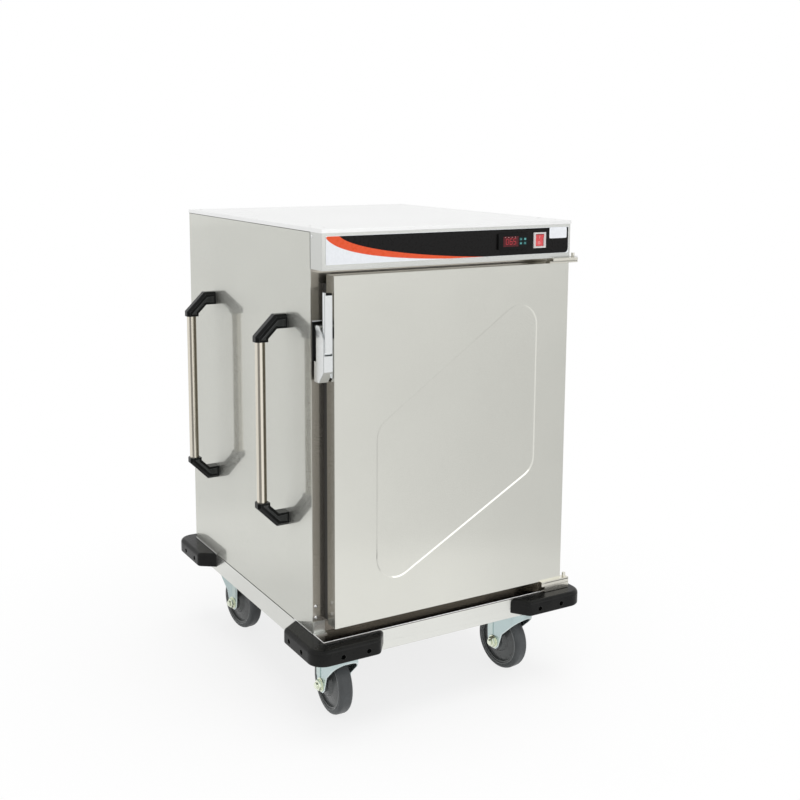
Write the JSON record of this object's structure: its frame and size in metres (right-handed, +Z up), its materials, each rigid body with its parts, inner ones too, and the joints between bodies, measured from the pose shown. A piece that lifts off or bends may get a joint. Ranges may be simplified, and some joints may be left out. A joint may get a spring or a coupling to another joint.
{
  "type": "heated banquet cart",
  "caption": "Insulated stainless cabinet on swivel castors for keeping plated food hot, with a hinged door, side handles, corner bumpers and a control fascia.",
  "frame": {"origin": "on the floor, at the centre of the box round the cart with its handles and bumpers", "axes": "+Z up, -Y towards the user at the door, +X to the right seen from the door's side"},
  "size_m": [0.7304, 0.822, 1.08],
  "materials": {
    "stainless_outer": "fine brushed stainless sheet",
    "stainless_liner": "plain stainless sheet",
    "zinc_steel": "bright zinc plated steel",
    "black_rubber": "moulded black rubber",
    "black_plastic": "satin black plastic",
    "grey_tyre": "grey thermoplastic rubber",
    "grey_plastic": "grey polypropylene",
    "foam": "light insulation board",
    "overlay_film": "printed polyester film",
    "display_window": "dark red lens",
    "key_teal": "printed soft key",
    "switch_grey": "light plastic",
    "rocker_red": "red translucent plastic",
    "motor_black": "black painted steel"
  },
  "bodies": {
    "cart": {"base_tray": "stainless_outer", "base_skirt": "stainless_outer", "left_side_panel": "stainless_outer", "right_side_panel": "stainless_outer", "rear_panel": "stainless_outer", "roof_panel": "stainless_outer", "front_frame": "stainless_outer", "fascia_housing": "stainless_outer", "door_rest_bracket": "stainless_outer", "handle_tubes": "stainless_outer", "cabinet_screws": "stainless_outer", "inner_liner": "stainless_liner", "compartment_floor": "stainless_liner", "rack_uprights": "stainless_liner", "rack_rails": "stainless_liner", "air_baffle": "stainless_liner", "heater_element": "stainless_liner", "temperature_probe": "stainless_liner", "castor_rails": "zinc_steel", "castor_plates": "zinc_steel", "castor_bolts": "zinc_steel", "bumper_screws": "zinc_steel", "hinge_brackets": "zinc_steel", "latch_keeper": "zinc_steel", "corner_bumpers": "black_rubber", "handle_brackets": "black_plastic", "keeper_packer": "black_plastic", "controller_case": "black_plastic", "power_inlet": "black_plastic", "insulation": "foam", "fascia_overlay": "overlay_film", "controller_window": "display_window", "switch_bezel": "switch_grey", "fan_motor": "motor_black"},
    "door": {"door_skin": "stainless_outer", "door_inner_panel": "stainless_liner", "door_insulation": "foam", "door_gasket": "black_rubber", "door_hinge_arms": "zinc_steel", "latch_body": "zinc_steel"},
    "latch_lever": {"latch_lever": "zinc_steel"},
    "latch_bolt": {"latch_bolt": "zinc_steel"},
    "power_rocker": {"switch_rocker": "rocker_red"},
    "fan": {"fan_rotor": "stainless_liner"},
    "key_1": {"controller_key_1": "key_teal"},
    "key_2": {"controller_key_2": "key_teal"},
    "key_3": {"controller_key_3": "key_teal"},
    "key_4": {"controller_key_4": "key_teal"},
    "castor_front_left": {"castor_fork_front_left": "zinc_steel"},
    "wheel_front_left": {"castor_wheel_front_left": "grey_plastic", "castor_tyre_front_left": "grey_tyre"},
    "castor_front_right": {"castor_fork_front_right": "zinc_steel"},
    "wheel_front_right": {"castor_wheel_front_right": "grey_plastic", "castor_tyre_front_right": "grey_tyre"},
    "castor_rear_left": {"castor_fork_rear_left": "zinc_steel"},
    "wheel_rear_left": {"castor_wheel_rear_left": "grey_plastic", "castor_tyre_rear_left": "grey_tyre"},
    "castor_rear_right": {"castor_fork_rear_right": "zinc_steel"},
    "wheel_rear_right": {"castor_wheel_rear_right": "grey_plastic", "castor_tyre_rear_right": "grey_tyre"}
  },
  "joints": [
    {"name": "door_hinge", "type": "hinge", "parent": "cart", "child": "door", "pos_m": [0.33525, -0.372, 0.22], "axis": [0, 0, 1], "range_deg": [0, 260]},
    {"name": "latch_lever_turn", "type": "hinge", "parent": "door", "child": "latch_lever", "pos_m": [-0.28025, -0.3635, 0.834], "axis": [1, 0, 0], "range_deg": [0, 40], "stiffness_Nm_per_rad": 0.4},
    {"name": "latch_bolt_slide", "type": "slide", "parent": "door", "child": "latch_bolt", "axis": [0, -1, 0], "range_m": [0, 0.006]},
    {"name": "power_rocker_tilt", "type": "hinge", "parent": "cart", "child": "power_rocker", "pos_m": [0.23925, -0.3708, 1.039], "axis": [1, 0, 0], "range_deg": [-14, 0]},
    {"name": "fan_spin", "type": "hinge", "parent": "cart", "child": "fan", "pos_m": [0.01625, 0.006, 0.943], "axis": [0, 0, 1], "continuous": true},
    {"name": "key_1_press", "type": "slide", "parent": "cart", "child": "key_1", "axis": [0, 1, 0], "range_m": [0, 0.0008], "stiffness_N_per_m": 400},
    {"name": "key_2_press", "type": "slide", "parent": "cart", "child": "key_2", "axis": [0, 1, 0], "range_m": [0, 0.0008], "stiffness_N_per_m": 400},
    {"name": "key_3_press", "type": "slide", "parent": "cart", "child": "key_3", "axis": [0, 1, 0], "range_m": [0, 0.0008], "stiffness_N_per_m": 400},
    {"name": "key_4_press", "type": "slide", "parent": "cart", "child": "key_4", "axis": [0, 1, 0], "range_m": [0, 0.0008], "stiffness_N_per_m": 400},
    {"name": "swivel_front_left", "type": "hinge", "parent": "cart", "child": "castor_front_left", "pos_m": [-0.21575, -0.302, 0.174], "axis": [0, 0, 1], "continuous": true},
    {"name": "roll_front_left", "type": "hinge", "parent": "castor_front_left", "child": "wheel_front_left", "pos_m": [-0.21505, -0.26201, 0.07], "axis": [0.9998, -0.0175, 0], "continuous": true},
    {"name": "swivel_front_right", "type": "hinge", "parent": "cart", "child": "castor_front_right", "pos_m": [0.24825, -0.302, 0.174], "axis": [0, 0, 1], "continuous": true},
    {"name": "roll_front_right", "type": "hinge", "parent": "castor_front_right", "child": "wheel_front_right", "pos_m": [0.24268, -0.26239, 0.07], "axis": [0.9903, 0.1392, 0], "continuous": true},
    {"name": "swivel_rear_left", "type": "hinge", "parent": "cart", "child": "castor_rear_left", "pos_m": [-0.21575, 0.302, 0.174], "axis": [0, 0, 1], "continuous": true},
    {"name": "roll_rear_left", "type": "hinge", "parent": "castor_rear_left", "child": "wheel_rear_left", "pos_m": [-0.21018, 0.26239, 0.07], "axis": [-0.9903, -0.1392, 0], "continuous": true},
    {"name": "swivel_rear_right", "type": "hinge", "parent": "cart", "child": "castor_rear_right", "pos_m": [0.24825, 0.302, 0.174], "axis": [0, 0, 1], "continuous": true},
    {"name": "roll_rear_right", "type": "hinge", "parent": "castor_rear_right", "child": "wheel_rear_right", "pos_m": [0.26825, 0.26736, 0.07], "axis": [-0.866, -0.5, 0], "continuous": true}
  ],
  "couplings": [
    {"joint": "latch_bolt_slide", "follows": "latch_lever_turn", "m_per_rad": 0.0085858}
  ]
}
